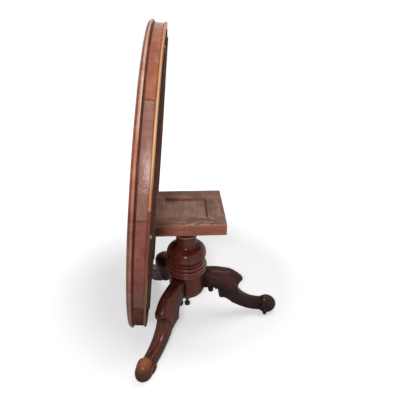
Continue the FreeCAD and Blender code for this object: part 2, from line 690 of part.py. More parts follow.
def catch_case():
    """Brass case over the bolt, open at the front for its nose."""
    top = UNDERSIDE - PLATE_THICK
    low = top - CASE_DEPTH
    shell = box((CASE_START, -CASE_WIDTH / 2, low), (CASE_START + CASE_LENGTH, CASE_WIDTH / 2, top))
    wide = BOLT_WIDTH / 2 + BOLT_CLEARANCE
    back = CASE_START + CASE_LENGTH - CASE_WALL
    room = box((CASE_START + CASE_WALL, -wide, low + CASE_WALL), (back, wide, top))
    nose_high = BOLT_LOW + NOSE_THICK + BOLT_CLEARANCE
    mouth = box((HALF_BLOCK, -wide, low + CASE_WALL), (CASE_START + 2 * CASE_WALL, wide, nose_high))
    return shell.cut([room, mouth, knob_stem_room()])


def catch_bolt():
    """Sliding bolt, drawn back: a thick tail in the case and a thinner nose bevelled below, bored for the knob."""
    wide = BOLT_WIDTH / 2
    tail_start = CASE_START + CASE_WALL + BOLT_CLEARANCE
    tail_high = UNDERSIDE - PLATE_THICK - BOLT_CLEARANCE
    tail = box((tail_start, -wide, BOLT_LOW), (tail_start + BOLT_LENGTH, wide, tail_high))
    tip = HALF_BLOCK - BOLT_THROW
    bevel = NOSE_THICK / 2
    points = [(tip, BOLT_LOW + NOSE_THICK), (tip, BOLT_LOW + bevel), (tip + bevel, BOLT_LOW)]
    points += [(tail_start, BOLT_LOW), (tail_start, BOLT_LOW + NOSE_THICK)]
    nose = outline(points).extrude(Vector(0, BOLT_WIDTH, 0))
    nose.translate(Vector(0, -wide, 0))
    x = CASE_START + KNOB_SETBACK
    hole_top = BOLT_LOW + KNOB_SPIGOT_LENGTH + SCREW_CLEARANCE
    hole = rod(KNOB_STEM_RADIUS + SCREW_CLEARANCE, (x, 0, BOLT_LOW - CASE_WALL), (x, 0, hole_top))
    bolt = tail.fuse(nose).removeSplitter().cut(hole)
    bolt.translate(Vector(BOLT_TRAVEL, 0, 0))
    return bolt


def catch_knob():
    """Turned knob on a stem that screws into the bolt."""
    x = CASE_START + KNOB_SETBACK
    under_case = UNDERSIDE - PLATE_THICK - CASE_DEPTH - KNOB_GAP
    low = under_case - KNOB_LENGTH
    top = BOLT_LOW + KNOB_SPIGOT_LENGTH
    rim = low + KNOB_LENGTH / 2
    points = [(0, low), (KNOB_RADIUS, rim, -0.2), (KNOB_STEM_RADIUS, under_case, -0.2)]
    knob = turned(points + [(KNOB_STEM_RADIUS, top), (0, top)])
    knob.translate(Vector(x + BOLT_TRAVEL, 0, 0))
    return knob


def catch_screws():
    """The catch's four brass screws."""
    screws = [countersunk_screw(CATCH_SCREW_RADIUS, CATCH_SCREW_HEAD, CATCH_SCREW_LENGTH, seat, (0, 0, 1))
              for seat in catch_seats()]
    return Part.makeCompound(screws)


def pedestal_pieces():
    """Everything that stands still."""
    pieces = {
        "block_rail_near": rail(-1),
        "block_rail_far": rail(1),
        "block_stile_pivot": stile(-1),
        "block_stile_catch": catch_stile(),
        "block_panel": panel(),
        "column": column(),
        "pendant": pendant(),
        "pivot_pin_near": pivot_pin(-1),
        "pivot_pin_far": pivot_pin(1),
        "keeper_plate": keeper_plate(),
        "keeper_screws": keeper_screws(),
    }
    right_leg = leg()
    for name, angle in LEG_ANGLES.items():
        turned_leg = right_leg.copy()
        turned_leg.rotate(ORIGIN, Z_AXIS, angle)
        pieces[f"leg_{name}"] = turned_leg
    return pieces


def top_pieces():
    """Everything that tilts, laid out flat on the block."""
    return {
        **boards(),
        **frieze(),
        **bead(),
        "glue_blocks": glue_blocks(),
        "bearer_near": bearer(-1),
        "bearer_far": bearer(1),
        "bearer_screws": bearer_screws(),
        "stop_rail": stop_rail(),
        "stop_screws": stop_screws(),
        "catch_plate": catch_plate(),
        "catch_case": catch_case(),
        "catch_bolt": catch_bolt(),
        "catch_knob": catch_knob(),
        "catch_screws": catch_screws(),
    }


os.makedirs("parts", exist_ok=True)
table = pedestal_pieces()
for piece_name, flat in top_pieces().items():
    flat.rotate(PIVOT, Vector(0, 1, 0), -TILT)
    table[piece_name] = flat
for piece_name, solid in table.items():
    solid.exportStep(f"parts/{piece_name}.step")
    print(piece_name, len(solid.Solids), "valid" if solid.isValid() else "BAD", round(solid.Volume / 1000, 1), "cm3")
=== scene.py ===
"""Tilt-top breakfast table with its top turned up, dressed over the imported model.

Shapes are drawn in millimetres. Materials, lamps and the camera are in metres, as Blender has them.
"""
import math

import bpy
import numpy as np
from mathutils import Matrix


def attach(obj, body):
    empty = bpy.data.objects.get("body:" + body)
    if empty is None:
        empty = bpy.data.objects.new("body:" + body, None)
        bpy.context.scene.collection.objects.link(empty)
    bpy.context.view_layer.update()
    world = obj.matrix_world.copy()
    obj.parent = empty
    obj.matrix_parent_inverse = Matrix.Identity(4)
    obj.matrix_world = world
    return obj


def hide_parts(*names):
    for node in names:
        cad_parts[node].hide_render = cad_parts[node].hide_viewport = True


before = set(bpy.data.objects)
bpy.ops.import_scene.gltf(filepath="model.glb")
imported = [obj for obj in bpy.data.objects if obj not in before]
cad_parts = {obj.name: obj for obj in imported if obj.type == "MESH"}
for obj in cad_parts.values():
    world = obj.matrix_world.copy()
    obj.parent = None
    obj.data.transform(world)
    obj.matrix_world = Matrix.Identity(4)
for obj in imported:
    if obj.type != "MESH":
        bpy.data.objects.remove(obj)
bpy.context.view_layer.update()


# Column: one mahogany turning from cap to barrel, French polished and gone dark with age. Its tenon is glued
# into the block's panel and the legs are dovetailed into the barrel. Its grooves and broad hollows are
# darkened as painted shade, and its beads are rubbed paler, palest at two sides as a painted highlight.
class Wire:
    """A node's output. Sums and products of wires and numbers add their Math nodes."""

    def __init__(self, tree, socket=None):
        self.tree = tree
        self.socket = socket

    def node(self, kind, settings, values, out=0):
        """New node: its settings, a ramp's stops among them, then a value or a wire for each socket."""
        made = self.tree.nodes.new("ShaderNode" + kind)
        for name, value in settings.items():
            if name == "stops":
                stops = made.color_ramp.elements
                stops.remove(stops[1])
                stops[0].position, stops[0].color = value[0]
                for place, colour in value[1:]:
                    stops.new(place).color = colour
            else:
                setattr(made, name, value)
        for key, value in values.items():
            if isinstance(value, Wire):
                self.tree.links.new(value.socket, made.inputs[key])
            else:
                made.inputs[key].default_value = value
        return Wire(self.tree, made.outputs[out])

    def maths(self, operation, first, second):
        return self.node("Math", {"operation": operation}, {0: first, 1: second})

    def __add__(self, other):
        return self.maths("ADD", self, other)

    __radd__ = __add__

    def __sub__(self, other):
        return self.maths("SUBTRACT", self, other)

    def __rsub__(self, other):
        return self.maths("SUBTRACT", other, self)

    def __mul__(self, other):
        return self.maths("MULTIPLY", self, other)

    def held(self):
        """The value kept between 0 and 1."""
        return self.node("Clamp", {}, {0: self})

    def over(self, under, upper):
        """Colour that goes from under to upper as this value goes from 0 to 1."""
        return self.node("Mix", {"data_type": "RGBA"}, {0: self, 6: under, 7: upper}, out=2)

    def feed(self, shader, name):
        self.tree.links.new(self.socket, shader.inputs[name])


def colour(red, green, blue):
    """Colour given as 0 to 255 screen values, in the linear light that Blender mixes."""
    level = np.array([red, green, blue]) / 255
    light = np.where(level <= 0.04045, level / 12.92, ((level + 0.055) / 1.055) ** 2.4)
    return (*light.tolist(), 1.0)


def streaks(grain, along, across, detail):
    """Noise drawn out along the grain, with so many cycles to the metre along and across it."""
    drawn_out = grain.node("VectorMath", {"operation": "MULTIPLY"}, {0: grain, 1: (along, across, across)})
    noise = {"Vector": drawn_out, "Scale": 1.0, "Detail": detail, "Roughness": 0.6}
    return grain.node("TexNoise", {}, noise)


def new_material(name):
    """Empty material, with the wire that its nodes start from and its shader."""
    material = bpy.data.materials.new(name)
    material.use_nodes = True
    return material, Wire(material.node_tree), material.node_tree.nodes["Principled BSDF"]


def grain_of(pen, turn):
    """Metres along and across the grain: the piece's own attribute, or its object coordinates turned."""
    if turn is None:
        return pen.node("Attribute", {"attribute_name": "grain"}, {}, out=1)
    place = pen.node("TexCoord", {}, {}, out=3)
    return pen.node("Mapping", {}, {"Vector": place, "Rotation": turn})


def timber(name, tones, roughness, coat, turn=None, figure=(2.4, 15), rubbed=None):
    """Wood: tones in streaks along the grain, dark pores and uneven polish. Marks below 0 darken it (wax,
    and painted shade in grooves, creases and undersides); marks above 0 pale it (rubbing, and painted
    highlight).
    Figure is the broad streaks' cycles to the metre; turn is for a mesh without a grain attribute."""
    material, pen, shader = new_material(name)
    grain = grain_of(pen, turn)
    age = pen.node("Attribute", {"attribute_name": "age"}, {}, out=2)
    broad = streaks(grain, *figure, 4)
    fibre = streaks(grain, 7, 190, 3)
    pore = ((streaks(grain, 40, 800, 2) - 0.6) * 7).held()
    blotch = streaks(grain, 5, 6, 3)
    deep, middle, light = tones
    ramp = {"stops": ((0.34, deep), (0.5, middle), (0.66, light))}
    shade = pen.node("ValToRGB", ramp, {"Fac": broad * 0.62 + fibre * 0.38})
    black = tuple(0.25 * level for level in deep[:3]) + (1.0,)
    shade = (pore * 0.4).over(shade, black)
    # Marks below 0 are wax and painted shade; marks above 0 are rubbing and painted highlight.
    wax_and_shade = (0 - age).held()
    proud = ((age - 0.2) * (blotch * 2.4 - 0.35)).held()
    shade = (wax_and_shade * 0.8).over(shade, black)
    shade = (proud * 0.7).over(shade, rubbed or light)
    shade.feed(shader, "Base Color")
    (roughness + (blotch - 0.5) * 0.34 + pore * 0.15 + wax_and_shade * 0.25).feed(shader, "Roughness")
    height = fibre * 0.5 - pore * 0.6
    pen.node("Bump", {}, {"Strength": 0.25, "Distance": 0.0005, "Height": height}).feed(shader, "Normal")
    ((blotch + 0.5 - wax_and_shade * 0.5 - pore * 0.4) * coat).held().feed(shader, "Coat Weight")
    shader.inputs["Coat Roughness"].default_value = 0.21
    shader.inputs["Specular IOR Level"].default_value = 0.0
    return material


SHARP_ANGLE = math.radians(38)


def add_piece(name, shells, material, body, slot, *nodes):
    """Piece from shells of (points in mm, face arrays, attributes by name), in the place of CAD nodes."""
    starts = np.cumsum([0] + [len(shell[0]) for shell in shells])
    faces = []
    for start, shell in zip(starts, shells):
        for array in shell[1]:
            faces += (array + start).tolist()
    mesh = bpy.data.meshes.new(name)
    mesh.from_pydata((np.vstack([shell[0] for shell in shells]) / 1000).tolist(), [], faces)
    for key in shells[0][2]:
        values = np.concatenate([shell[2][key] for shell in shells])
        kind, field = ("FLOAT", "value") if values.ndim == 1 else ("FLOAT_VECTOR", "vector")
        mesh.attributes.new(key, kind, "POINT").data.foreach_set(field, values.ravel().astype(np.float32))
    mesh.polygons.foreach_set("use_smooth", np.ones(len(faces), bool))
    mesh.set_sharp_from_angle(angle=SHARP_ANGLE)
    mesh.materials.append(material)
    piece = bpy.data.objects.new(name, mesh)
    bpy.context.scene.collection.objects.link(piece)
    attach(piece, body)
    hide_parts(*nodes)


def skin(rows, columns):
    """Faces of a closed tube of rows by columns points, its ends closed by fans on the last two points."""
    here = np.arange(columns)
    ahead = (here + 1) % columns
    start = (np.arange(rows - 1) * columns)[:, None]
    quads = np.stack([start + here, start + ahead, start + columns + ahead, start + columns + here], -1)
    pole = np.full(columns, rows * columns)
    last = (rows - 1) * columns
    first_fan = np.stack([pole, ahead, here], -1)
    last_fan = np.stack([pole + 1, last + here, last + ahead], -1)
    return [quads.reshape(-1, 4), first_fan, last_fan]


# Points along each run of a profile, and the half angle that stands for a straight run
RUN_POINTS, STRAIGHT = 40, 1e-9


def drawn(stops, step):
    """Profile through (radius, height, bow) stops at even steps; bow is an arc's rise over its chord."""
    runs = []
    for (r0, z0), (r1, z1, bow) in zip([stop[:2] for stop in stops], stops[1:]):
        half = 2 * math.atan(2 * bow) + STRAIGHT
        turn = np.linspace(-half, half, RUN_POINTS)
        forward = 0.5 + np.sin(turn) / (2 * math.sin(half))
        aside = (np.cos(turn) - math.cos(half)) / (2 * math.sin(half))
        runs.append(np.stack([r0 + forward * (r1 - r0) - aside * (z1 - z0),
                              z0 + forward * (z1 - z0) + aside * (r1 - r0)], -1))
    line = np.vstack(runs)
    gone = np.concatenate([[0], np.cumsum(np.hypot(*np.diff(line, axis=0).T))])
    even = np.linspace(0, gone[-1], max(8, int(gone[-1] / step)))
    return np.stack([np.interp(even, gone, line[:, 0]), np.interp(even, gone, line[:, 1])], -1)


def turned(profile, angle):
    """Turning about the column's axis: each (radius, height) of the profile goes round at every angle."""
    radius, height = profile[:, :1], profile[:, 1:]
    rings = np.stack(np.broadcast_arrays(radius * np.cos(angle), radius * np.sin(angle), height), -1)
    poles = [[0, 0, profile[0, 1]], [0, 0, profile[-1, 1]]]
    return np.vstack([rings.reshape(-1, 3), poles]), skin(len(profile), len(angle))


def rubbing(profile, reach, depth):
    """Marks along a profile: its radius less the mean over reach steps either way, as a share of depth.
    Sunk parts come out below 0 and are darkened as painted shade; proud parts come out above 0.
    """
    radius = profile[:, 0]
    mean = np.convolve(np.pad(radius, reach, mode="edge"), np.ones(2 * reach + 1) / (2 * reach + 1), "valid")
    return np.clip((radius - mean) / depth, -1, 1)


def turned_wood(stops, step, shift, columns=96, marks_by_height=((0, 0), (1, 0))):
    """Turned shell with its grain running up it. Its marks: the beads rubbed paler, most on two sides as a
    painted highlight, and their grooves darker as painted shade; broad swells paler as rubbing and broad
    hollows darker as painted shade; and the marks given at each height added."""
    profile = drawn(stops, step)
    angle = np.linspace(0, 2 * np.pi, columns, endpoint=False)
    points, faces = turned(profile, angle)
    # Paler at two sides: a painted highlight on the rings where they turn away.
    lit_sides = 0.2 + 2 * np.cos(angle) ** 8
    beads = rubbing(profile, reach=5, depth=1.6)[:, None]
    swells = rubbing(profile, reach=18, depth=50)[:, None]
    shading_by_height = np.interp(profile[:, 1], *np.transpose(marks_by_height))[:, None]
    age = np.clip(beads * lit_sides + swells + shading_by_height, -1, 1)
    grain = points[:, [2, 0, 1]] / 1000 + shift
    return points, faces, {"age": np.append(age, [0, 0]), "grain": grain}


# Radius, height and bow of the run up to each stop: barrel, four rings, bulb, neck, bead and cap
COLUMN_STOPS = [
    (1, 184, 0), (55, 184, 0), (93, 222, -0.2), (93, 325, 0), (96, 329, 0.2),
    (100, 330.5, 0), (101, 338, -0.3), (98, 345, -0.2), (94, 347, 0),
    (99, 349, 0), (104, 358, -0.3), (100, 368, -0.25), (91, 370.5, 0),
    (95, 372.5, 0), (98, 378, -0.3), (94, 386, -0.2), (84, 388.5, 0),
    (88, 391, 0), (90, 396, -0.3), (87, 400, -0.2), (80, 402.5, 0),
    (84, 406, 0), (100, 436, -0.19), (72, 475, -0.18), (53, 495, 0.16), (51, 515, 0.03), (51, 540, 0),
    (56, 541, 0), (56, 552, -0.4), (88, 627, 0.18), (88, 639, 0), (1, 639, 0)]
COLUMN_TONES = (colour(62, 25, 20), colour(106, 49, 40), colour(140, 71, 56))
# Its pale colour is for the rubbed beads and for the painted highlight at the rings' two sides.
column_wood = timber("column_mahogany", COLUMN_TONES, roughness=0.5, coat=0.42,
                     rubbed=colour(230, 180, 148))
# Height, and marks there: a darker, duller barrel, painted shade above and below the bead at the head of the
# neck, and a painted highlight on that bead
COLUMN_SHADING = ((184, -0.4), (322, -0.35), (330, 0), (534, 0), (539, -0.5), (541.5, 0.5), (550, 0.6),
               (553, -0.9), (639, -0.9))
column_shell = turned_wood(COLUMN_STOPS, step=2.2, shift=0.0, marks_by_height=COLUMN_SHADING)
add_piece("column_turned", [column_shell], column_wood, "pedestal", "column_wood", "column")

# Pendant: a small mahogany drop turned with a ball, a bead and a wide collar. Its spigot is glued into the
# underside of the barrel.
PENDANT_STOPS = [
    (0.5, 80, 0), (9, 82.5, -0.12), (15, 94.5, -0.18), (9, 106.5, -0.18), (9, 126, 0.1),
    (14, 131, -0.2), (18, 136, -0.2), (14, 141, -0.2), (9, 146, 0.1), (17, 163, 0.12),
    (30, 175, 0.1), (30, 184, -0.2), (0.5, 184, 0)]
PENDANT_TONES = (colour(22, 10, 9), colour(46, 23, 20), colour(66, 36, 31))
pendant_wood = timber("pendant_mahogany", PENDANT_TONES, roughness=0.5, coat=0.4)
pendant_shell = turned_wood(PENDANT_STOPS, step=1.6, shift=0.37, columns=48)
add_piece("pendant_turned", [pendant_shell], pendant_wood, "pedestal", "column_wood", "pendant")

# Legs: three solid mahogany legs sawn to a scroll, carved with a lipped knee, an eye at the root and a
# scroll foot with ears. Each is dovetailed into the barrel and polished with the column.
LEG_TURNS = {"leg_right": 2.5, "leg_near": -117.5, "leg_far": 122.5}
# Stations from root to toe: the upper line's reach and height, the lower line's reach and height, half
# width, squareness, how far the middle stands over the corners, and how far the lip's corners are cut back
LEG_STATIONS = np.array([
    (86, 318.5, 86, 212, 37, 4.4, 1, 0), (120, 318, 108, 212, 38, 4, 2, 0),
    (160, 315, 128, 211, 40, 3.5, 3, 0), (200, 306, 146, 208, 43, 3, 4, 0),
    (225, 295.5, 160, 202, 46, 2.6, 11, 0), (244, 284, 168, 188, 48, 2.4, 13, 0),
    (262, 269.5, 171, 166, 49, 2.3, 14, 0), (278, 255.5, 172, 147, 49, 2.3, 14, 0.1),
    (290, 245, 184, 144, 47.5, 2.4, 12, 0.4), (296, 237, 198, 139, 45.5, 2.5, 9, 0.8),
    (297, 230, 210, 131, 43.5, 2.6, 7, 1), (291, 224, 218, 123, 41, 2.8, 5, 1),
    (280, 217.5, 224, 117, 39, 3, 4, 0.75), (274, 207, 230, 111.5, 37, 3.3, 2, 0.35),
    (276, 191, 236, 105.5, 36.5, 3.2, 1, 0.1), (286, 168, 243, 97.5, 36, 3.2, 1, 0),
    (299, 148, 259, 88, 35.5, 3.2, 2, 0), (313, 133, 278, 76, 35, 3.2, 3, 0),
    (328, 121, 297, 65, 34, 3.2, 3, 0), (352, 107, 326, 50, 33, 3.2, 3, 0),
    (382, 97, 361, 37.5, 31.5, 3.2, 3, 0), (413, 91, 398, 29, 30, 3.2, 3, 0),
    (430, 87, 424, 27, 29, 3.2, 3, 0), (444, 83, 442, 28, 27.5, 3, 3, 0)])
LIMB_STEPS, LIMB_COLUMNS = 7, 88
# Where a corner of the lip goes when it is cut back, and the least squareness of the limb's lower half
LIP_BACK, LIP_UP, SQUARE_BELOW = -32, 36, 4.5
# Stations at the crease under the lip and at the ankle, darkened as painted shade
CREASE_STATION, ANKLE_STATION = 12.8, 22
# How far the grain goes out and down along the leg
GRAIN_OUT, GRAIN_DOWN = 0.825, 0.566
TOE_CENTRE = np.array([447, 0, 54])
TOE_HALVES = np.array([52, 40, 57.5])
TOE_LEAN, TOE_ROWS, TOE_COLUMNS = 0.45, 30, 64
# Height below which the toe darkens as painted shade and above which it pales, as rubbing and painted
# highlight, and reach of the crease behind it, darkened as painted shade
TOE_SHADE_LINE, TOE_CREASE = 64, 396
# Carvings: the radius, distance out from the leg's middle, and bow of the run up to each stop
EAR_CENTRE = np.array([430, 0, 54])
EAR_TALL, TIP_TALL = 0.86, 2
EAR_STOPS = [(28, 12, 0), (28, 36.5, 0), (25, 41, -0.2), (20, 40, -0.2), (17, 35, 0), (12, 34, 0),
             (9, 36, 0), (6, 38.5, -0.15), (0.5, 39.5, -0.05)]
TIP_CENTRE = np.array([434, 0, 26])
TIP_STOPS = [(13, 14, 0), (13, 36, 0), (9, 39, -0.2), (0.5, 40, -0.05)]
EYE_CENTRE = np.array([138, 0, 252])
EYE_STOPS = [(13, 28, 0), (12.5, 35.5, 0), (10.5, 38, -0.2), (8.5, 36.6, -0.2), (7.5, 36, 0),
             (6, 37.6, -0.15), (0.5, 39, -0.1)]
LOBE_STOPS = [(0.5, -37, 0), (9, -36.5, -0.1), (14, -32, -0.2), (14, 32, 0), (9, 36.5, -0.2),
              (0.5, 37, -0.1)]
LOBE_CENTRE = np.array([125, 0, 203])
BUMP_STOPS = [(0.5, -37, 0), (5, -36.5, -0.1), (8, -34, -0.2), (8, 34, 0), (5, 36.5, -0.2), (0.5, 37, -0.1)]
BUMP_CENTRE = np.array([155, 0, 213])
# Darkness of the lobes under the leg's root: painted shade
LOBE_SHADE = -0.7


def flowing(points, count):
    """Smooth line through points, count steps to a stretch: a Catmull-Rom cubic on each stretch."""
    ends = np.vstack([2 * points[0] - points[1], points, 2 * points[-1] - points[-2]])
    a, b, c, d = (ends[k:len(ends) - 3 + k, None] for k in range(4))
    t = np.linspace(0, 1, count, endpoint=False)[None, :, None]
    line = b + 0.5 * t * (c - a + t * (2 * a - 5 * b + 4 * c - d + t * (3 * (b - c) + d - a)))
    return np.vstack([line.reshape(-1, points.shape[1]), points[-1:]])


def leg_grain(points, shift):
    """Grain on the slant from the root to the toe: metres along it, then across and through the leg."""
    along = GRAIN_OUT * points[:, 0] - GRAIN_DOWN * points[:, 2]
    through = GRAIN_DOWN * points[:, 0] + GRAIN_OUT * points[:, 2]
    return np.stack([along, points[:, 1], through], -1) / 1000 + shift


def leg_limb():
    """Limb: rounded squares between the upper and lower lines, domed above, the lip's corners cut back."""
    line = flowing(LEG_STATIONS, LIMB_STEPS)
    angle = np.linspace(0, 2 * np.pi, LIMB_COLUMNS, endpoint=False)
    half, square, dome, cut = (line[:, k:k + 1] for k in range(4, 8))
    power = 2 / np.where(np.sin(angle) > 0, square, np.maximum(square, SQUARE_BELOW))
    side = np.sign(np.cos(angle)) * np.abs(np.cos(angle)) ** power
    rise = np.sign(np.sin(angle)) * np.abs(np.sin(angle)) ** power
    upper = np.clip(rise, 0, 1)
    tall = line[:, 0:2] - line[:, 2:4]
    lift = 0.5 * rise + dome / np.hypot(*tall.T)[:, None] * (1 - side ** 2) * upper
    back = cut * side ** 2 * upper ** 2
    reach = (line[:, 0:1] + line[:, 2:3]) / 2 + lift * tall[:, :1] + back * LIP_BACK
    height = (line[:, 1:2] + line[:, 3:4]) / 2 + lift * tall[:, 1:] + back * LIP_UP
    points = np.stack([reach, half * side, height], -1)
    arris = np.abs(side * rise) ** 3 * np.clip((square - 4) / 3, 0, 1)
    station = np.linspace(0, len(LEG_STATIONS) - 1, len(line))[:, None]
    # Painted shade: darker at the crease under the lip, at the ankle, at the root against the barrel and on
    # the underside; the arrises are rubbed paler.
    crease = np.exp(-((station - CREASE_STATION) / 1.1) ** 2) * np.clip(rise * 1.5, 0, 1)
    ankle = np.exp(-((station - ANKLE_STATION) / 1.2) ** 2)
    root = np.exp(-(station / 0.8) ** 2)
    under = np.clip(0.3 - rise, 0, 1)
    age = np.clip(arris - 0.35 * crease - ankle - root - 0.5 * under, -1, 1)
    poles = np.array([points[0].mean(0), points[-1].mean(0)])
    return np.vstack([points.reshape(-1, 3), poles]), skin(len(line), LIMB_COLUMNS), np.append(age, [0, 0])


def leg_toe():
    """Toe: an egg, half axes along, across and up, leaning back, narrower above and flat where it stands."""
    rise = np.radians(np.linspace(-86, 86, TOE_ROWS))[:, None]
    angle = np.linspace(0, 2 * np.pi, TOE_COLUMNS, endpoint=False)
    width = (1 - 0.12 * np.sin(rise)) * np.cos(rise)
    rings = np.stack(np.broadcast_arrays(width * np.cos(angle), width * np.sin(angle), np.sin(rise)), -1)
    egg = np.vstack([rings.reshape(-1, 3), [[0, 0, -1], [0, 0, 1]]]) * TOE_HALVES
    cosine, sine = math.cos(TOE_LEAN), math.sin(TOE_LEAN)
    points = egg @ np.array([[cosine, 0, sine], [0, 1, 0], [-sine, 0, cosine]]) + TOE_CENTRE
    points[:, 2] = np.maximum(points[:, 2], 0)
    # Darker low on the toe and in the crease behind it, as painted shade; paler high on it, as rubbing and
    # painted highlight.
    rubbed = np.clip((points[:, 2] - TOE_SHADE_LINE) / 44, -0.8, 0.95)
    crease = np.exp(-((points[:, 0] - TOE_CREASE) / 12) ** 2)
    return points, skin(TOE_ROWS, TOE_COLUMNS), np.clip(rubbed - 1.6 * crease, -1, 1)


def leg_boss(stops, centre, side, tall=1.0):
    """Round carving on a leg's side: a profile of (radius, distance out) turned about the line across it."""
    profile = drawn(stops, step=1.3)
    columns = 48
    angle = side * np.linspace(0, 2 * np.pi, columns, endpoint=False)
    radius, out = profile[:, :1], side * profile[:, 1:]
    rings = np.stack(np.broadcast_arrays(radius * np.sin(angle), out, tall * radius * np.cos(angle)), -1)
    poles = [[0, out[0, 0], 0], [0, out[-1, 0], 0]]
    points = np.vstack([rings.reshape(-1, 3), poles]) + centre
    # Sunk hollows darker, as painted shade; proud rims paler, as rubbing.
    age = np.clip(rubbing(profile[:, ::-1], reach=6, depth=2.6), -0.8, 0.45).repeat(columns)
    return points, skin(len(profile), columns), np.append(age, [0, 0])


# Each leg gets its own tones: the far leg's lighter, as painted light for the shade it stands in, and the
# right leg's darker. The pale colours, brightest on the near toe, are for rubbing and painted highlight.
LEG_TONES = {"leg_right": (colour(30, 13, 13), colour(62, 31, 29), colour(90, 48, 43)),
             "leg_near": (colour(44, 21, 17), colour(92, 48, 38), colour(130, 74, 54)),
             "leg_far": (colour(64, 36, 30), colour(124, 78, 64), colour(164, 110, 90))}
LEG_WORN_AND_LIT = {"leg_right": colour(56, 36, 37), "leg_near": colour(202, 126, 76),
              "leg_far": colour(190, 130, 102)}
leg_parts = [leg_limb(), leg_toe()]
for stops, centre in ((LOBE_STOPS, LOBE_CENTRE), (BUMP_STOPS, BUMP_CENTRE)):
    points, faces, age = leg_boss(stops, centre, 1)
    leg_parts.append((points, faces, np.full(len(age), LOBE_SHADE)))
for side in (-1, 1):
    leg_parts += [leg_boss(EAR_STOPS, EAR_CENTRE, side, EAR_TALL), leg_boss(EYE_STOPS, EYE_CENTRE, side)]
for number, (node, degrees) in enumerate(LEG_TURNS.items()):
    cosine, sine = math.cos(math.radians(degrees)), math.sin(math.radians(degrees))
    about = np.array([[cosine, sine, 0], [-sine, cosine, 0], [0, 0, 1]])
    tip = [leg_boss(TIP_STOPS, TIP_CENTRE, -1, TIP_TALL)] if node == "leg_right" else []
    shells = [(points @ about, faces, {"age": age, "grain": leg_grain(points, shift=0.61 * number)})
              for points, faces, age in leg_parts + tip]
    leg_wood = timber(node + "_mahogany", LEG_TONES[node], roughness=0.5, coat=0.3,
                      rubbed=LEG_WORN_AND_LIT[node])
    add_piece(node + "_carved", shells, leg_wood, "pedestal", "leg_wood", node)

# Block: a mahogany frame of two rails and two stiles, tenoned and pinned, round a recessed panel. Its upper
# face was never polished and is grey, scratched and chipped; its outer faces are polished brick red. The
# pivot side's upper edge is rounded so that the top can turn.
BLOCK_LOW, BLOCK_HIGH, PANEL_LOW, PANEL_HIGH = 639, 692, 645, 678
BLOCK_HALF, RECESS_HALF, PIVOT_ROUND, ARRIS = 180, 100, 22, 1.6


def planed_outline(left, right, low, high, rounds):
    """Section of (x, z, arris) with rounded corners: top left, top right, bottom right, bottom left."""
    centres = [(left + rounds[0], high - rounds[0]), (right - rounds[1], high - rounds[1]),
               (right - rounds[2], low + rounds[2]), (left + rounds[3], low + rounds[3])]
    turn = np.radians(np.linspace(0, 90, 9))
    corners = []
    for k, ((x, z), radius) in enumerate(zip(centres, rounds)):
        angle = math.radians(180 - 90 * k) - turn
        corner = [x + radius * np.cos(angle), z + radius * np.sin(angle), np.sin(2 * turn)]
        corners.append(np.stack(corner, -1))
    return np.vstack(corners)


def planed(left, right, near, far, low, high, rounds, grain_order, shift):
    """Planed member: its section carried from near to far, shrunk by an arris at both ends. The upper, lower
    and inward faces are bare of polish."""
    outline = planed_outline(left, right, low, high, rounds)
    inner = planed_outline(left + ARRIS, right - ARRIS, low + ARRIS, high - ARRIS,
                           [max(radius - ARRIS, 0.1) for radius in rounds])
    runs = np.array([near, near + 0.5, near + ARRIS, near + 3 * ARRIS,
                     far - 3 * ARRIS, far - ARRIS, far - 0.5, far])
    shrink = np.array([1, 0.35, 0, 0, 0, 0, 0.35, 1])[:, None]
    x = shrink * inner[:, 0] + (1 - shrink) * outline[:, 0]
    z = shrink * inner[:, 1] + (1 - shrink) * outline[:, 1]
    points = np.stack(np.broadcast_arrays(x, runs[:, None], z), -1)
    middle = [(left + right) / 2, (low + high) / 2]
    poles = [[middle[0], near, middle[1]], [middle[0], far, middle[1]]]
    end = np.array([0.4, 1, 0.7, 0, 0, 0.7, 1, 0.4])[:, None]
    age = np.maximum(outline[:, 2] * np.ones_like(end), end * np.ones(len(outline)))
    bare = (z > high - 0.6 * ARRIS) | (z < low + 0.6 * ARRIS)
    points = np.vstack([points.reshape(-1, 3), poles])
    inward = np.abs(points[:, grain_order[1]]) < RECESS_HALF + 0.5 * ARRIS
    attributes = {"age": np.append(age, [0, 0]), "bare": np.maximum(np.append(bare, [0, 0]), 0.4 * inward),
                  "grain": points[:, grain_order] / 1000 + shift}
    return points, skin(len(runs), len(outline)), attributes


def stroke(place, start, end, width):
    """1 along a stroke from start to end on the face seen from above, falling to 0 at width from it."""
    away = place.node("VectorMath", {"operation": "SUBTRACT"}, {0: place, 1: (*start, 0)})
    run = np.subtract(end, start)
    share = away.node("VectorMath", {"operation": "DOT_PRODUCT"}, {0: away, 1: (*run, 0)}, out=1)
    share = (share * (1 / float(run @ run))).held()
    along = place.node("CombineXYZ", {}, {0: share * run[0], 1: share * run[1]})
    rest = place.node("VectorMath", {"operation": "SUBTRACT"}, {0: away, 1: along})
    flat = place.node("VectorMath", {"operation": "MULTIPLY"}, {0: rest, 1: (1, 1, 0)})
    far = place.node("VectorMath", {"operation": "LENGTH"}, {0: flat}, out=1)
    return (1.3 - far * (1.3 / width)).held()


CHIP_PALE = colour(214, 180, 150)
SCRATCH_PALE = colour(188, 158, 138)
ARRIS_PALE = colour(196, 150, 118)
# Steepness of a step from 0 to 1 over a quarter of a millimetre
STEP = 4000


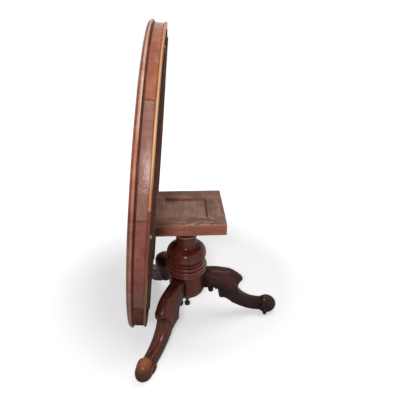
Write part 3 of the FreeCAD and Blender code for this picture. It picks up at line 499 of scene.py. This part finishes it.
def block_timber(name, faces, bare_tones, chips, dark_strokes, turn=None):
    """Polished wood on the outer faces; bare wood above, grey, cross-scratched, with pale chips, and with
    dark
    strokes: stain marks, and painted shade along the foot of the recess's walls.
    Turn is for a mesh without attributes, whose bare faces are told by where they lie."""
    material, pen, shader = new_material(name)
    grain = grain_of(pen, turn)
    place = pen.node("TexCoord", {}, {}, out=3)
    age = pen.node("Attribute", {"attribute_name": "age"}, {}, out=2)
    if turn is None:
        bare = pen.node("Attribute", {"attribute_name": "bare"}, {}, out=2)
    else:
        across = pen.node("SeparateXYZ", {}, {0: place}, out=0)
        height = pen.node("SeparateXYZ", {}, {0: place}, out=2)
        above = ((height - 0.001 * (BLOCK_HIGH - 0.5)) * STEP).held()
        inside = ((0.001 * (RECESS_HALF + 0.5) - across) * STEP).held()
        bare = (above + inside).held()
    broad = streaks(grain, 3, 30, 4)
    fibre = streaks(grain, 8, 260, 3)
    pore = ((streaks(grain, 40, 700, 2) - 0.58) * 7).held()
    blotch = streaks(place, 9, 9, 4)
    ramp = {"stops": ((0.34, faces[0]), (0.5, faces[1]), (0.66, faces[2]))}
    shade = pen.node("ValToRGB", ramp, {"Fac": broad * 0.55 + fibre * 0.45})
    ramp = {"stops": ((0.36, bare_tones[0]), (0.5, bare_tones[1]), (0.64, bare_tones[2]))}
    grey = pen.node("ValToRGB", ramp, {"Fac": blotch * 0.45 + fibre * 0.3 + broad * 0.25})
    turned_place = pen.node("Mapping", {}, {"Vector": place, "Rotation": (0, 0, 0.7)})
    scratch = ((streaks(turned_place, 6, 420, 2) - 0.63) * 9).held()
    grey = (scratch * 0.45).over(grey, SCRATCH_PALE)
    shade = bare.over(shade, grey)
    black = tuple(0.3 * level for level in faces[0][:3]) + (1.0,)
    shade = (pore * 0.5).over(shade, black)
    for start, end, width in dark_strokes:
        shade = (stroke(place, start, end, width) * blotch * 1.1 * bare).over(shade, black)
    rub = ((age - 0.2) * (blotch * 2 - 0.3)).held()
    shade = (rub * 0.8).over(shade, ARRIS_PALE)
    for start, end, width, paleness in chips:
        ragged = (stroke(place, start, end, width) * (blotch + fibre - 0.15)).held() * bare
        shade = (ragged * paleness).over(shade, CHIP_PALE)
    shade.feed(shader, "Base Color")
    (0.34 + bare * 0.3 + (blotch - 0.5) * 0.3 + scratch * 0.1).feed(shader, "Roughness")
    height = fibre * 0.5 - pore * 0.5 - scratch * bare * 0.6
    pen.node("Bump", {}, {"Strength": 0.3, "Distance": 0.0006, "Height": height}).feed(shader, "Normal")
    ((1 - bare) * 0.15).feed(shader, "Coat Weight")
    shader.inputs["Coat Roughness"].default_value = 0.22
    shader.inputs["Specular IOR Level"].default_value = 0.16
    return material


BLOCK_RED = (colour(112, 58, 45), colour(164, 96, 78), colour(190, 120, 98))
BLOCK_BARE = (colour(82, 60, 52), colour(130, 98, 84), colour(166, 132, 114))
# Chips and stains on the upper face, in metres: start, end and width of each stroke, and a chip's paleness
CHIPS = [((0.057, -0.1035), (0.088, -0.1035), 0.004, 1), ((0.104, -0.093), (0.122, -0.126), 0.0025, 0.8),
         ((0.123, -0.174), (0.126, -0.174), 0.004, 0.9), ((0.166, -0.092), (0.168, -0.09), 0.003, 0.9),
         ((0.002, -0.17), (0.036, -0.166), 0.007, 0.6), ((-0.03, -0.177), (0.0, -0.176), 0.005, 0.5),
         ((0.02, -0.158), (0.052, -0.152), 0.004, 0.6), ((0.06, -0.172), (0.1, -0.17), 0.004, 0.6),
         ((0.046, -0.138), (0.092, -0.146), 0.003, 0.6), ((0.082, -0.158), (0.116, -0.15), 0.003, 0.7),
         ((-0.04, -0.15), (0.0, -0.142), 0.003, 0.4), ((0.075, 0.138), (0.101, 0.137), 0.005, 0.3)]
STAINS = [((-0.094, 0.091), (-0.054, 0.089), 0.02), ((0.111, -0.164), (0.114, -0.164), 0.006),
          ((0.016, -0.16), (0.024, -0.158), 0.006), ((-0.17, -0.1), (-0.12, -0.17), 0.05)]
block_wood = block_timber("block_mahogany", BLOCK_RED, BLOCK_BARE, CHIPS, STAINS)
PIVOT_CORNERS = (PIVOT_ROUND, ARRIS, ARRIS, ARRIS)
SEAM = 0.15
# Left, right, near and far sides, corners, order of the grain's axes and shift of the figure
BLOCK_MEMBERS = {
    "block_rail_near": (-BLOCK_HALF, BLOCK_HALF, -BLOCK_HALF, -RECESS_HALF, PIVOT_CORNERS, (0, 1, 2), 0.0),
    "block_rail_far": (-BLOCK_HALF, BLOCK_HALF, RECESS_HALF, BLOCK_HALF, PIVOT_CORNERS, (0, 1, 2), 0.43),
    "block_stile_pivot": (-BLOCK_HALF, -RECESS_HALF, -RECESS_HALF + SEAM, RECESS_HALF - SEAM, PIVOT_CORNERS,
                          (1, 0, 2), 0.86)}
for node, (left, right, near, far, rounds, order, shift) in BLOCK_MEMBERS.items():
    shell = planed(left, right, near, far, BLOCK_LOW, BLOCK_HIGH, rounds, order, shift)
    add_piece(node + "_planed", [shell], block_wood, "pedestal", "block_wood", node)


def dress(node, material):
    """Gives a piece that keeps its CAD shape a material."""
    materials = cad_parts[node].data.materials
    materials.clear()
    materials.append(material)


# The catch-side stile keeps its CAD shape, which has the keeper's recess and the mouth for the bolt
STILE_TURN = (0, 0, math.radians(90))
stile_wood = block_timber("stile_mahogany", BLOCK_RED, BLOCK_BARE, CHIPS, STAINS, turn=STILE_TURN)
dress("block_stile_catch", stile_wood)
PANEL_BARE = (colour(100, 74, 63), colour(146, 112, 96), colour(178, 142, 122))
# Painted shade along the foot of the recess's far and catch-side walls, and one stain
PANEL_SHADE_AND_STAINS = [((-0.1, 0.097), (0.1, 0.097), 0.011), ((0.098, -0.09), (0.098, 0.09), 0.008), STAINS[0]]
panel_wood = block_timber("panel_mahogany", BLOCK_RED, PANEL_BARE, [], PANEL_SHADE_AND_STAINS)
PANEL_HALF = RECESS_HALF - SEAM
PANEL_CORNERS = (0.4, 0.4, 0.4, 0.4)
shell = planed(-PANEL_HALF, PANEL_HALF, -PANEL_HALF, PANEL_HALF, PANEL_LOW, PANEL_HIGH, PANEL_CORNERS,
               grain_order=(1, 0, 2), shift=1.77)
add_piece("block_panel_planed", [shell], panel_wood, "pedestal", "panel_wood", "block_panel")

# Top boards: five mahogany boards glued edge to edge, their grain along the pivot's line. The rim is worked
# to a quirk, a nosing and a thumb moulding, and the upper face is polished. The top is drawn lying flat,
# and then turned up about the pins.
PIVOT = np.array([-160, 0, 666])
TILT = math.radians(84.2)
TOP_CENTRE, NOSE, BOARD_COUNT, GLUE_LINE = 19, 658, 5, 0.02
UP_TOP = np.array([math.cos(TILT), 0, math.sin(TILT)])
OUT_TOP = np.array([-math.sin(TILT), 0, math.cos(TILT)])
# Radius, height and bow of the run up to each stop, from under the boards to their upper face
RIM_STOPS = [(640, 692.4, 0), (646, 692.4, 0), (646.4, 699.3, 0), (648.9, 699.5, 0), (649.1, 701.8, 0),
             (653.6, 702.1, 0), (657, 704, -0.15), (658, 707.4, -0.08), (657, 711.2, -0.08),
             (654.6, 713.4, -0.08), (653.8, 713.8, 0), (651, 717.6, -0.1), (645, 719.7, -0.08),
             (641, 719.7, 0)]
# Height, and marks there: painted shadow under the nosing and painted shade in the step above it, and the
# nosing and thumb rubbed paler, with a painted highlight along the nosing's lower arris
RIM_SHADE_AND_WEAR = np.array([(701.9, -1), (702.2, 1.8), (704.6, 1.8), (706.5, 0.75), (711, 0.75), (713, -0.8),
                     (714.2, -0.7), (715.5, 0.4)])
# Radius within which and height below which the faces are flat and dull, and their age
FLAT_WITHIN, FLAT_BELOW, FLAT_AGE = 643, 693, -0.3
# Angle and spread, in degrees, of the painted highlight on the nosing's lower arris and on its swell, over
# rubbing all round, and the height where the swell starts
ARRIS_HIGHLIGHT, SWELL_HIGHLIGHT, SWELL_FROM = (-46, 11), (-20, 38), 705.5


def turned_up(points):
    """Points of the flat top, carried round the pins to where it stands."""
    out = points - PIVOT
    return PIVOT + out[:, :1] * UP_TOP + out[:, 1:2] * np.array([0, 1, 0]) + out[:, 2:] * OUT_TOP


def highlight_near(angle, middle, spread):
    """1 at middle degrees, where a painted highlight is strongest, falling to 0 on both sides by its spread.
    """
    return np.exp(-((np.degrees(angle) - middle) / spread) ** 2)


def top_board(left, right, shift):
    """Board: at each height of the rim, the disc of that radius cut to a strip by two chords."""
    profile = drawn(RIM_STOPS, step=1.1)
    radius = profile[:, :1]
    first = np.arccos(np.clip((right - GLUE_LINE) / radius, -1, 0.99999))
    last = np.arccos(np.clip((left + GLUE_LINE) / radius, -0.99999, 1))
    share = np.linspace(0, 1, 60)
    arc = first + (last - first) * share
    angle = np.hstack([arc, -arc[:, ::-1]])
    points = np.stack(np.broadcast_arrays(TOP_CENTRE + radius * np.cos(angle), radius * np.sin(angle),
                                          profile[:, 1:]), -1)
    middle = TOP_CENTRE + (left + right) / 2
    points = np.vstack([points.reshape(-1, 3), [[middle, 0, profile[0, 1]], [middle, 0, profile[-1, 1]]]])
    level = np.interp(profile[:, 1], RIM_SHADE_AND_WEAR[:, 0], RIM_SHADE_AND_WEAR[:, 1])
    level[(profile[:, 0] < FLAT_WITHIN) | (profile[:, 1] < FLAT_BELOW)] = FLAT_AGE
    level = level[:, None]
    # The pale marks are strongest at the painted highlight's angle, over rubbing all round.
    arris = 0.2 + 0.8 * highlight_near(angle, *ARRIS_HIGHLIGHT)
    swell = 0.35 + 0.65 * highlight_near(angle, *SWELL_HIGHLIGHT)
    lit_and_worn = np.where(profile[:, 1:] < SWELL_FROM, arris, swell)
    age = np.append(np.where(level > 0, level * lit_and_worn, level), [FLAT_AGE, FLAT_AGE])
    grain = points[:, [1, 0, 2]] / 1000 + shift
    return turned_up(points), skin(*angle.shape), {"age": age, "grain": grain}


BOARD_TONES = (colour(116, 58, 42), colour(172, 102, 78), colour(204, 138, 108))
# Its pale colour is for rubbing and for the painted highlight along the nosing.
board_wood = timber("board_mahogany", BOARD_TONES, roughness=0.5, coat=0.32, figure=(1.6, 11),
                    rubbed=colour(246, 220, 200))
board_width = 2 * NOSE / BOARD_COUNT
for k in range(BOARD_COUNT):
    node = "top_board_%d" % (k + 1)
    shell = top_board(-NOSE + k * board_width, -NOSE + (k + 1) * board_width, shift=0.53 * k)
    add_piece(node + "_moulded", [shell], board_wood, "top", "board_wood", node)

# Frieze: eleven curved segments glued end to end under the rim and faced with mahogany veneer laid with its
# grain across, each leaf a little different in tone, polished. The dark tones of the two lowest leaves are
# painted shade.
FRIEZE_OUT, FRIEZE_IN, FRIEZE_LOW, FRIEZE_HIGH = 648.5, 630.5, 651.2, 699.2
FRIEZE_START, FRIEZE_COUNT, FRIEZE_ROWS, QUIRK = -45.2, 11, 40, 2.4
# Half a joint's gap in degrees, the wax in it, and how steeply the painted shade falls off from a leaf's
# first end
JOINT_GAP, JOINT_WAX, SHADE_FALL = 0.008, -0.7, 1.4
# Marks at each corner of a segment's section: painted shadow in the quirk, and painted shade just over the
# bead
SECTION_SHADE = [0, -1, -1, -0.8, 0, 0, -0.5, -0.6, 0]


def carried_round(section, start, end, rows):
    """Section of (radius, height) carried round the top's middle from one angle to another, in degrees.
    Gives points and faces, the angle of each row in radians, and how far along the frieze each point is."""
    share = np.concatenate([[0, 0.004, 0.009], np.linspace(0.02, 0.98, rows - 6), [0.991, 0.996, 1]])
    angle = np.radians(start + (end - start) * share)[:, None]
    radius, height = section.T
    x, y = TOP_CENTRE + radius * np.cos(angle), radius * np.sin(angle)
    rings = np.stack(np.broadcast_arrays(x, y, height), -1)
    points = np.vstack([rings.reshape(-1, 3), [rings[0].mean(0), rings[-1].mean(0)]])
    along = np.repeat(angle[:, 0], len(section)) * FRIEZE_OUT
    along = np.append(along, [along[0], along[-1]])
    return points, skin(rows, len(section)), angle, along


def frieze_segment(start, end, shift, end_shade):
    """Segment: upright grain in its veneer, a quirk sunk under the nosing, dark joints, painted shadow in
    the quirk and over the bead, and painted shade towards its first end.
    """
    sunk = FRIEZE_OUT - QUIRK
    section = np.array([(FRIEZE_IN, FRIEZE_HIGH), (sunk, FRIEZE_HIGH), (sunk, FRIEZE_HIGH - 4),
                        (FRIEZE_OUT - 0.2 * QUIRK, FRIEZE_HIGH - 4.6), (FRIEZE_OUT, FRIEZE_HIGH - 5.4),
                        (FRIEZE_OUT, FRIEZE_LOW + 14), (FRIEZE_OUT, FRIEZE_LOW + 10.5),
                        (FRIEZE_OUT, FRIEZE_LOW), (FRIEZE_IN, FRIEZE_LOW)])
    points, faces, angle, along = carried_round(section, start + JOINT_GAP, end - JOINT_GAP, FRIEZE_ROWS)
    # Painted shade towards the leaf's first end, and in the quirk and over the bead.
    age = -end_shade * ((angle[-1] - angle) / (angle[-1] - angle[0])) ** SHADE_FALL
    age[[0, 1, -2, -1]] = JOINT_WAX
    age = np.append(np.minimum(age, SECTION_SHADE), [0, 0])
    grain = np.stack([points[:, 2], along, np.zeros(len(points))], -1) / 1000 + shift
    return turned_up(points), faces, {"age": age, "grain": grain}


def veneer(name, tones, crazed, shine, coat):
    """Veneer: fine upright streaks crossed by broad mottled bands, in tones given leaf by leaf, darker where
    the
    marks are below 0: dark joints, and painted shade.
    """
    material, pen, shader = new_material(name)
    grain = grain_of(pen, None)
    age = pen.node("Attribute", {"attribute_name": "age"}, {}, out=2)
    fibre = streaks(grain, 10, 330, 3)
    mottle = streaks(grain, 26, 14, 4)
    band = streaks(grain, 4, 45, 3)
    pore = ((streaks(grain, 60, 900, 2) - 0.6) * 7).held()
    ramp = {"stops": ((0.3, tones[0]), (0.5, tones[1]), (0.7, tones[2]))}
    shade = pen.node("ValToRGB", ramp, {"Fac": fibre * 0.3 + mottle * 0.5 + band * 0.2})
    black = tuple(0.3 * level for level in tones[0][:3]) + (1.0,)
    shade = (pore * 0.3 + (0 - age).held() * 0.8).held().over(shade, black)
    shade.feed(shader, "Base Color")
    (0.2 + (mottle - 0.5) * 0.25 + pore * 0.15).feed(shader, "Roughness")
    craze = streaks(grain, 75, 60, 4)
    height = fibre * 0.5 - pore * 0.5 + mottle * 0.3 + craze * crazed
    depth = 0.15 + 0.1 * crazed
    pen.node("Bump", {}, {"Strength": depth, "Distance": 0.0005, "Height": height}).feed(shader, "Normal")
    shader.inputs["Coat Weight"].default_value = coat
    shader.inputs["Coat Roughness"].default_value = 0.22
    shader.inputs["Specular IOR Level"].default_value = shine
    return material


LEAF_TONES = {"orange": (colour(118, 64, 44), colour(162, 102, 78), colour(192, 132, 106)),
              "plum": (colour(108, 68, 56), colour(147, 103, 90), colour(176, 132, 116)),
              "red": (colour(110, 57, 49), colour(152, 92, 80), colour(180, 118, 103)),
              "dark": (colour(98, 54, 42), colour(134, 82, 64), colour(158, 104, 84))}
# Painted shade towards a red leaf's first end: on the red leaf low on the front, that end is its lower one.
LEAF_END_SHADE = {"orange": 0, "plum": 0, "red": 0.55, "dark": 0}
# How far the polish is crazed, its gloss and the weight of its last coat
LEAF_POLISH = {"orange": (0.8, 0.03, 0.05), "plum": (6, 0.24, 0.05), "red": (0.8, 0.03, 0.08),
               "dark": (0.8, 0, 0.01)}
LEAF_ORDER = "orange orange red plum red plum orange dark dark red plum".split()
leaves = {leaf: veneer("frieze_veneer_" + leaf, tones, *LEAF_POLISH[leaf])
          for leaf, tones in LEAF_TONES.items()}
sweep = 360 / FRIEZE_COUNT
for k, leaf in enumerate(LEAF_ORDER):
    node = "frieze_segment_%02d" % (k + 1)
    start = FRIEZE_START + k * sweep
    end = FRIEZE_START + (k + 1) * sweep
    shell = frieze_segment(start, end, shift=0.71 * k, end_shade=LEAF_END_SHADE[leaf])
    add_piece(node + "_veneered", [shell], leaves[leaf], "top", "frieze_veneer", node)

# Bead: four strips of half-round mahogany, steamed and bent. They are glued along the frieze's lower edge.
# Three are pale; the strip along the lower front gets brown tones, as painted shade. The swell is rubbed
# paler, with a painted highlight strongest at one angle, and the edges against the frieze are darker as
# painted shade.
BEAD_HEIGHT, BEAD_PROUD, BEAD_START, BEAD_ROWS, BEAD_GAP = 9.5, 5.0, 15, 130, 0.01
# Angle and spread in degrees of the painted highlight on the bead's swell, and how much paler its swell is
# made there
BEAD_LIT, BEAD_PALENESS = (308, 20), 1.8


def bead_strip(start, end, shift):
    """Half round: out from the frieze by proud times the sine as it comes down by its height."""
    turn = np.linspace(0, np.pi, 13)
    section = np.stack([FRIEZE_OUT + 0.1 + BEAD_PROUD * np.sin(turn),
                        FRIEZE_LOW + BEAD_HEIGHT / 2 * (1 + np.cos(turn))], -1)
    points, faces, angle, along = carried_round(section, start + BEAD_GAP, end - BEAD_GAP, BEAD_ROWS)
    # The swell is paler, as rubbing with a painted highlight strongest at one angle; the edges against the
    # frieze are darker, as painted shade.
    lit_and_worn = 0.3 + 0.7 * highlight_near(angle, *BEAD_LIT)
    level = np.sin(turn) * 1.4 - 0.7
    age = np.append(np.where(level > 0, BEAD_PALENESS * level * lit_and_worn, level), [0, 0])
    grain = np.stack([along, points[:, 2], points[:, 2]], -1) / 1000 + shift
    return turned_up(points), faces, {"age": age, "grain": grain}


# The brown strip runs along the lower front: its brown tones are painted shade. The pale colours are for
# rubbing and for the painted highlight on the swell.
BEAD_TONES = {"pale": (colour(134, 70, 34), colour(198, 118, 62), colour(232, 164, 100)),
              "brown": (colour(84, 42, 28), colour(128, 72, 48), colour(158, 98, 70))}
BEAD_WORN_AND_LIT = {"pale": colour(255, 208, 148), "brown": colour(172, 108, 74)}
bead_woods = {tone: timber("bead_wood_" + tone, tones, roughness=0.5, coat=0.3, figure=(4, 60),
                           rubbed=BEAD_WORN_AND_LIT[tone])
              for tone, tones in BEAD_TONES.items()}
for k, tone in enumerate("pale pale brown pale".split()):
    node = "bead_strip_%d" % (k + 1)
    shell = bead_strip(BEAD_START + k * 90, BEAD_START + (k + 1) * 90, shift=0.59 * k)
    add_piece(node + "_bent", [shell], bead_woods[tone], "top", "bead_wood", node)

# Bearers, stop rail and glue blocks: rough-planed softwood and mahogany, screwed and glued to the unpolished
# underside and gone brown and grey with age. Their tones are made pale, as painted light in the top's shade.
BEARER_TONES = (colour(104, 82, 71), colour(168, 138, 121), colour(204, 170, 151))
along_top = (0, TILT, 0)
bearer_wood = timber("bearer_wood", BEARER_TONES, roughness=0.62, coat=0.04, turn=along_top, figure=(3, 28))
across_top = (0, 0, math.radians(90))
stop_wood = timber("stop_wood", BEARER_TONES, roughness=0.62, coat=0.04, turn=across_top, figure=(3, 28))
for node, finish in (("bearer_near", bearer_wood), ("bearer_far", bearer_wood), ("stop_rail", stop_wood),
                     ("glue_blocks", stop_wood)):
    dress(node, finish)


# Pins, screws and catch: iron pivot pins driven into the block's rails, iron wood screws, and a brass catch
# and keeper held by their own screws. All are dulled by handling.
def worn_metal(name, bright, dull, roughness):
    """Old metal: bright where it is rubbed, dull in patches, with fine scratches."""
    material, pen, shader = new_material(name)
    place = pen.node("TexCoord", {}, {}, out=3)
    patch = ((streaks(place, 70, 70, 4) - 0.42) * 4).held()
    scratch = streaks(place, 200, 2400, 2)
    patch.over(bright, dull).feed(shader, "Base Color")
    (roughness + patch * 0.3 + (scratch - 0.5) * 0.2).feed(shader, "Roughness")
    pen.node("Bump", {}, {"Strength": 0.2, "Distance": 0.0002, "Height": scratch}).feed(shader, "Normal")
    shader.inputs["Metallic"].default_value = 0.85
    return material


iron = worn_metal("old_iron", bright=colour(120, 110, 102), dull=colour(58, 48, 42), roughness=0.45)
brass = worn_metal("old_brass", bright=colour(196, 152, 92), dull=colour(112, 80, 46), roughness=0.35)
# The pins' pale cream colours are a painted highlight on their heads.
pin_metal = worn_metal("pin_iron", bright=colour(214, 180, 150), dull=colour(134, 96, 72), roughness=0.4)
METALS = {"pivot_pin_near": pin_metal, "pivot_pin_far": pin_metal, "bearer_screws": iron,
          "stop_screws": iron, "keeper_plate": brass, "keeper_screws": brass, "catch_plate": brass,
          "catch_case": brass, "catch_screws": brass, "catch_bolt": brass, "catch_knob": brass}
for node, finish in METALS.items():
    dress(node, finish)

# Studio: a white floor and background, a small soft key light high in front, a broad fill overhead, and a
# camera at the photograph's place. The floor glows less round the feet, a painted shadow over the lamps'
# own.
FLOOR_CORNERS = [(-6, -6, 0), (6, -6, 0), (6, 6, 0), (-6, 6, 0)]
# Middle of the painted shadow, set back behind the table
FLOOR_MIDDLE = (0.05, 0.3, 0)
FLOOR_SEEN, FLOOR_UNSEEN = (0.74, 0.74, 0.74, 1), (0.16, 0.16, 0.16, 1)
# Glow of the floor as the camera sees it near the middle, low there as a painted shadow, what is added
# further off, and where that starts
NEAR_GLOW, FAR_GLOW, FAR_FROM = 0.45, 0.55, 0.55
floor_mesh = bpy.data.meshes.new("floor")
floor_mesh.from_pydata(FLOOR_CORNERS, [], [(0, 1, 2, 3)])
floor = bpy.data.objects.new("floor", floor_mesh)
bpy.context.scene.collection.objects.link(floor)
floor_paint, pen, shader = new_material("floor_paint")
shader.inputs["Roughness"].default_value = 0.9
shader.inputs["Specular IOR Level"].default_value = 0.1
place = pen.node("TexCoord", {}, {}, out=3)
shifted = pen.node("VectorMath", {"operation": "SUBTRACT"}, {0: place, 1: FLOOR_MIDDLE})
away = pen.node("VectorMath", {"operation": "LENGTH"}, {0: shifted}, out=1)


def seen_rays(pen):
    """1 for rays that the camera sees, straight, mirrored or let through; 0 for light on the object."""
    straight = pen.node("LightPath", {}, {}, out="Is Camera Ray")
    mirrored = pen.node("LightPath", {}, {}, out="Is Glossy Ray")
    through = pen.node("LightPath", {}, {}, out="Is Transmission Ray")
    return (straight + mirrored + through).held()


seen = seen_rays(pen)
seen.over(FLOOR_UNSEEN, FLOOR_SEEN).feed(shader, "Base Color")
glow = seen * (NEAR_GLOW + ((away - FAR_FROM) * 1.3).held() * FAR_GLOW)
glowing = pen.node("Emission", {}, {"Color": (1, 1, 1, 1), "Strength": glow})
plain = Wire(pen.tree, shader.outputs[0])
both = pen.node("AddShader", {}, {0: plain, 1: glowing})
pen.tree.links.new(both.socket, pen.tree.nodes["Material Output"].inputs["Surface"])
floor_mesh.materials.append(floor_paint)

world = bpy.data.worlds.new("studio")
world.use_nodes = True
bpy.context.scene.world = world
pen = Wire(world.node_tree)
lit = pen.node("Background", {}, {"Color": (0.94, 0.95, 1.0, 1), "Strength": 0.17})
white = pen.node("Background", {}, {"Color": (1, 1, 1, 1), "Strength": 1.0})
both = pen.node("MixShader", {}, {0: seen_rays(pen), 1: lit, 2: white})
world.node_tree.links.new(both.socket, world.node_tree.nodes["World Output"].inputs["Surface"])


def softbox(name, place, aim, size, power, tint):
    """Rectangular lamp of a width and height at a place, facing the aim."""
    lamp = bpy.data.lights.new(name, "AREA")
    lamp.shape = "RECTANGLE"
    lamp.size, lamp.size_y = size
    lamp.energy = power
    lamp.color = tint
    made = bpy.data.objects.new(name, lamp)
    bpy.context.scene.collection.objects.link(made)
    back = np.subtract(place, aim)
    back = back / np.linalg.norm(back)
    right = np.cross((0, 0, 1), back)
    right = right / np.linalg.norm(right)
    up = np.cross(back, right)
    made.matrix_world = Matrix([(right[k], up[k], back[k], place[k]) for k in range(3)] + [(0, 0, 0, 1)])


softbox("key", place=(-0.25, -2.3, 2.1), aim=(0, 0, 0.6), size=(0.3, 0.24), power=33, tint=(1, 0.95, 0.94))
softbox("top_fill", place=(0.9, 0.3, 3.3), aim=(0, 0, 0.3), size=(2.0, 2.0), power=40, tint=(1, 0.98, 0.98))

camera = bpy.data.cameras.new("camera")
camera.sensor_width = 36
camera.lens = 33.646
viewer = bpy.data.objects.new("camera", camera)
bpy.context.scene.collection.objects.link(viewer)
viewer.matrix_world = Matrix([(0.99758, 0.02036, -0.06653, -0.0181), (-0.06830, 0.46875, -0.88068, -1.6536),
                              (0.01326, 0.88309, 0.46901, 1.5637), (0, 0, 0, 1)])
bpy.context.scene.camera = viewer
bpy.context.scene.view_settings.view_transform = "Standard"
